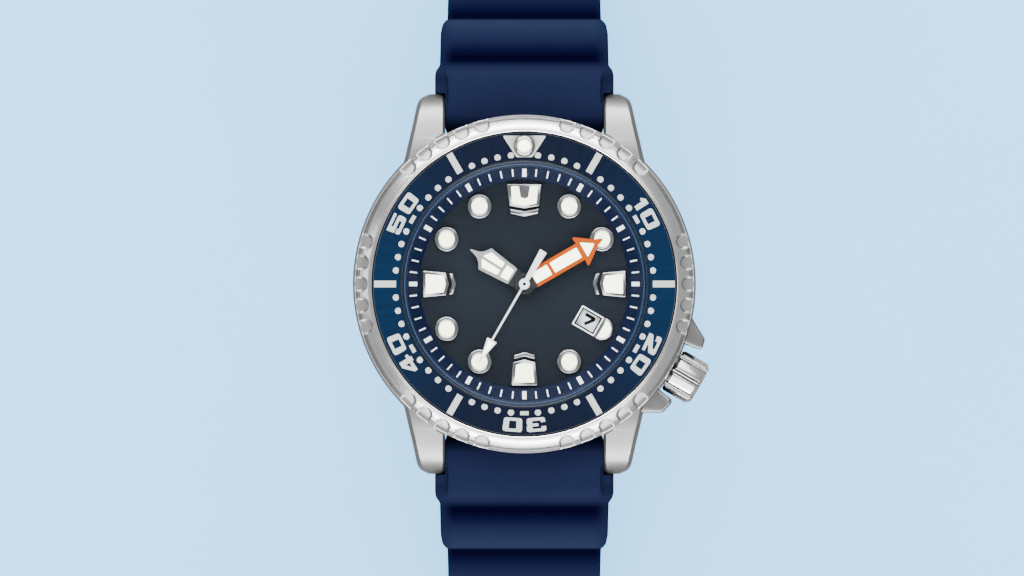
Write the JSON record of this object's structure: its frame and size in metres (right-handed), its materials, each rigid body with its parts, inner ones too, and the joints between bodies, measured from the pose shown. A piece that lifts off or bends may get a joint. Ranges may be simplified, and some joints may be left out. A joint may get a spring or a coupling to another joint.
{
  "type": "diver wristwatch",
  "caption": "Round diver's wristwatch with a turning blue bezel, luminous hands, a date window and an open moulded strap with a tang buckle.",
  "frame": {"origin": "centre of the case back's flat outer face", "axes": "+Z out of the dial through the crystal, +Y towards the twelve o'clock marker, +X towards the three o'clock marker"},
  "size_m": [0.0458, 0.2454, 0.0271],
  "materials": {
    "case_steel": "satin",
    "buckle_steel": "polished",
    "spring_steel": "satin",
    "hand_steel": "polished",
    "gasket": "matte",
    "seal": "matte",
    "crystal": "polished",
    "chapter": "satin",
    "dial": "satin",
    "cell_film": "satin",
    "insert": "gloss",
    "lume": "matte",
    "orange_paint": "satin",
    "date_white": "matte",
    "plate_brass": "satin",
    "wheel_brass": "satin",
    "board": "satin",
    "coil": "gloss",
    "strap": "satin"
  },
  "bodies": {
    "case": {"mid_case": "case_steel", "case_back": "case_steel", "case_back_gasket": "gasket", "crystal": "crystal", "crystal_gasket": "gasket", "chapter_ring": "chapter", "dial": "dial", "solar_cell": "cell_film", "bezel_gasket": "gasket", "bezel_click_spring": "spring_steel", "crown_tube": "case_steel", "main_plate": "plate_brass", "movement_ring": "seal", "train_bridge": "plate_brass", "circuit_board": "board", "stator": "spring_steel", "coil": "coil", "quartz_can": "spring_steel", "storage_cell": "spring_steel", "cell_clamp": "spring_steel", "spring_bar_12": "spring_steel", "spring_bar_6": "spring_steel"},
    "bezel": {"bezel_ring": "case_steel", "bezel_insert": "insert", "bezel_pip": "lume"},
    "hour": {"hour_hand": "hand_steel", "hour_wheel": "wheel_brass"},
    "minute": {"minute_hand": "orange_paint", "cannon_pinion": "wheel_brass"},
    "motion_wheel": {"minute_wheel": "wheel_brass"},
    "seconds": {"second_hand": "hand_steel", "fourth_wheel": "wheel_brass"},
    "third": {"third_wheel": "wheel_brass"},
    "centre": {"centre_wheel": "wheel_brass"},
    "fifth": {"fifth_wheel": "seal"},
    "motor_rotor": {"rotor": "spring_steel"},
    "date": {"date_disc": "date_white"},
    "clutch": {"clutch_wheel": "wheel_brass"},
    "crown": {"crown": "case_steel", "crown_stem": "spring_steel", "crown_gasket": "gasket"},
    "tip_12_left": {"spring_tip_12_left": "spring_steel"},
    "tip_12_right": {"spring_tip_12_right": "spring_steel"},
    "tip_6_left": {"spring_tip_6_left": "spring_steel"},
    "tip_6_right": {"spring_tip_6_right": "spring_steel"},
    "strap_short": {"strap_short": "strap", "buckle_bar": "spring_steel", "keeper_fixed": "strap"},
    "keeper": {"keeper_free": "strap"},
    "buckle": {"buckle_frame": "buckle_steel"},
    "tang": {"buckle_tang": "buckle_steel"},
    "strap_long": {"strap_long": "strap"}
  },
  "joints": [
    {"name": "bezel_turn", "type": "hinge", "parent": "case", "child": "bezel", "pos_m": [0, 0, 0.0095], "axis": [0, 0, 1], "continuous": true},
    {"name": "minute_turn", "type": "hinge", "parent": "case", "child": "minute", "pos_m": [0, 0, 0.008], "axis": [0, 0, 1], "continuous": true},
    {"name": "hour_turn", "type": "hinge", "parent": "case", "child": "hour", "pos_m": [0, 0, 0.0074], "axis": [0, 0, 1], "continuous": true},
    {"name": "motion_wheel_turn", "type": "hinge", "parent": "case", "child": "motion_wheel", "pos_m": [-0.00312, 0.0018, 0.005], "axis": [0, 0, 1], "continuous": true},
    {"name": "second_turn", "type": "hinge", "parent": "case", "child": "seconds", "pos_m": [0, 0, 0.0085], "axis": [0, 0, 1], "continuous": true},
    {"name": "third_wheel_turn", "type": "hinge", "parent": "case", "child": "third", "pos_m": [0.0017, 0.00294, 0.003], "axis": [0, 0, 1], "continuous": true},
    {"name": "centre_wheel_turn", "type": "hinge", "parent": "case", "child": "centre", "pos_m": [0, 0, 0.0034], "axis": [0, 0, 1], "continuous": true},
    {"name": "fifth_wheel_turn", "type": "hinge", "parent": "case", "child": "fifth", "pos_m": [-0.00282, -0.00103, 0.003], "axis": [0, 0, 1], "continuous": true},
    {"name": "rotor_turn", "type": "hinge", "parent": "case", "child": "motor_rotor", "pos_m": [-0.00479, -0.00174, 0.0034], "axis": [0, 0, 1], "continuous": true},
    {"name": "date_turn", "type": "hinge", "parent": "case", "child": "date", "pos_m": [0, 0, 0.0059], "axis": [0, 0, 1], "continuous": true},
    {"name": "crown_turn", "type": "hinge", "parent": "case", "child": "clutch", "pos_m": [0, 0, 0.0049], "axis": [0.866, -0.5, 0], "continuous": true},
    {"name": "crown_pull", "type": "slide", "parent": "clutch", "child": "crown", "axis": [0.866, -0.5, 0], "range_m": [0, 0.0016]},
    {"name": "tip_12_left_press", "type": "slide", "parent": "case", "child": "tip_12_left", "axis": [1, 0, 0], "range_m": [0, 0.00115], "stiffness_N_per_m": 500},
    {"name": "tip_12_right_press", "type": "slide", "parent": "case", "child": "tip_12_right", "axis": [-1, 0, 0], "range_m": [0, 0.00115], "stiffness_N_per_m": 500},
    {"name": "tip_6_left_press", "type": "slide", "parent": "case", "child": "tip_6_left", "axis": [1, 0, 0], "range_m": [0, 0.00115], "stiffness_N_per_m": 500},
    {"name": "tip_6_right_press", "type": "slide", "parent": "case", "child": "tip_6_right", "axis": [-1, 0, 0], "range_m": [0, 0.00115], "stiffness_N_per_m": 500},
    {"name": "strap_short_fold", "type": "hinge", "parent": "case", "child": "strap_short", "pos_m": [0, 0.0215, 0.0033], "axis": [-1, 0, 0], "range_deg": [0, 38]},
    {"name": "strap_long_fold", "type": "hinge", "parent": "case", "child": "strap_long", "pos_m": [0, -0.0215, 0.0033], "axis": [1, 0, 0], "range_deg": [0, 38]},
    {"name": "keeper_slide", "type": "slide", "parent": "strap_short", "child": "keeper", "axis": [0, 1, 0], "range_m": [-0.003, 0.006]},
    {"name": "buckle_turn", "type": "hinge", "parent": "strap_short", "child": "buckle", "pos_m": [0, 0.0914, -0.0132], "axis": [1, 0, 0], "range_deg": [-12, 30]},
    {"name": "tang_turn", "type": "hinge", "parent": "buckle", "child": "tang", "pos_m": [0, 0.0914, -0.0132], "axis": [1, 0, 0], "range_deg": [0, 60]}
  ],
  "couplings": [
    {"joint": "hour_turn", "follows": "minute_turn", "ratio": 0.083333},
    {"joint": "motion_wheel_turn", "follows": "minute_turn", "ratio": -0.33333},
    {"joint": "third_wheel_turn", "follows": "second_turn", "ratio": -0.13333},
    {"joint": "centre_wheel_turn", "follows": "second_turn", "ratio": 0.016667},
    {"joint": "fifth_wheel_turn", "follows": "second_turn", "ratio": -5},
    {"joint": "rotor_turn", "follows": "second_turn", "ratio": 30}
  ]
}
